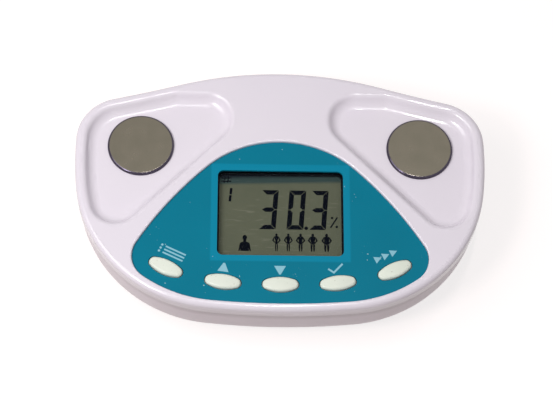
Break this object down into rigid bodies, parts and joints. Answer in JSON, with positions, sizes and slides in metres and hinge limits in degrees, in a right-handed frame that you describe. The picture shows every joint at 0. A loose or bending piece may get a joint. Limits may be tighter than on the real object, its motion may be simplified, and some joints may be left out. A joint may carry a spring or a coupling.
{
  "type": "handheld body fat analyzer",
  "caption": "Handheld body fat analyzer: white case with a coloured front panel, a display, a row of sprung keys, steel thumb and finger electrodes, and a battery door on its back.",
  "frame": {"origin": "centre of the resting face, under the middle of the case", "axes": "+X to the right as the display is read, +Y to the top edge, +Z out of the front face"},
  "size_m": [0.1392, 0.0892, 0.0267],
  "materials": {
    "shell_white": "glossy moulded white",
    "panel_teal": "glossy teal, printed legends",
    "clear_lens": "clear polished",
    "display_glass": "olive grey liquid crystal display",
    "reflector_foil": "satin foil",
    "black_moulding": "matte moulded",
    "connector_rubber": "striped elastomer",
    "board_laminate": "solder mask",
    "mat_silicone": "matte silicone",
    "key_rubber": "satin cream",
    "carbon_rubber": "matte carbon",
    "electrode_steel": "satin face, polished rounded edge",
    "spring_steel": "spring steel",
    "spring_bronze": "spring bronze",
    "lead_insulation": "insulation",
    "cell_wrap": "plain wrapped cell",
    "nickel_plate": "nickel plated",
    "chip_epoxy": "epoxy glob",
    "component_ceramic": "chip components",
    "screw_steel": "zinc plated"
  },
  "bodies": {
    "case": {"back_cover": "shell_white", "board_screws": "screw_steel", "buzzer": "black_moulding", "case_screws": "screw_steel", "chip_components": "component_ceramic", "contact_springs": "spring_bronze", "controller_chip": "chip_epoxy", "crystal": "nickel_plate", "display_window": "clear_lens", "electrode_clips": "spring_steel", "finger_leads": "lead_insulation", "front_cover": "shell_white", "front_panel": "panel_teal", "keypad_mat": "mat_silicone", "lcd_connector": "connector_rubber", "lcd_frame": "black_moulding", "lcd_glass": "display_glass", "lcd_reflector": "reflector_foil", "left_finger_electrode": "electrode_steel", "left_thumb_electrode": "electrode_steel", "link_terminal": "nickel_plate", "lower_cell": "cell_wrap", "main_board": "board_laminate", "minus_terminal": "nickel_plate", "plus_terminal": "nickel_plate", "right_finger_electrode": "electrode_steel", "right_thumb_electrode": "electrode_steel", "upper_cell": "cell_wrap"},
    "menu_key": {"menu_key": "key_rubber", "menu_contact": "carbon_rubber"},
    "up_key": {"up_key": "key_rubber", "up_contact": "carbon_rubber"},
    "down_key": {"down_key": "key_rubber", "down_contact": "carbon_rubber"},
    "set_key": {"set_key": "key_rubber", "set_contact": "carbon_rubber"},
    "start_key": {"start_key": "key_rubber", "start_contact": "carbon_rubber"},
    "battery_door": {"battery_door": "shell_white"}
  },
  "joints": [
    {"name": "menu_press", "type": "slide", "parent": "case", "child": "menu_key", "axis": [0, 0, -1], "range_m": [0, 0.0009], "stiffness_N_per_m": 1200},
    {"name": "up_press", "type": "slide", "parent": "case", "child": "up_key", "axis": [0, 0, -1], "range_m": [0, 0.0009], "stiffness_N_per_m": 1200},
    {"name": "down_press", "type": "slide", "parent": "case", "child": "down_key", "axis": [0, 0, -1], "range_m": [0, 0.0009], "stiffness_N_per_m": 1200},
    {"name": "set_press", "type": "slide", "parent": "case", "child": "set_key", "axis": [0, 0, -1], "range_m": [0, 0.0009], "stiffness_N_per_m": 1200},
    {"name": "start_press", "type": "slide", "parent": "case", "child": "start_key", "axis": [0, 0, -1], "range_m": [0, 0.0009], "stiffness_N_per_m": 1200},
    {"name": "door_tilt", "type": "hinge", "parent": "case", "child": "battery_door", "pos_m": [0, -0.0127, 0.0002], "axis": [-1, 0, 0], "range_deg": [0, 60]}
  ]
}
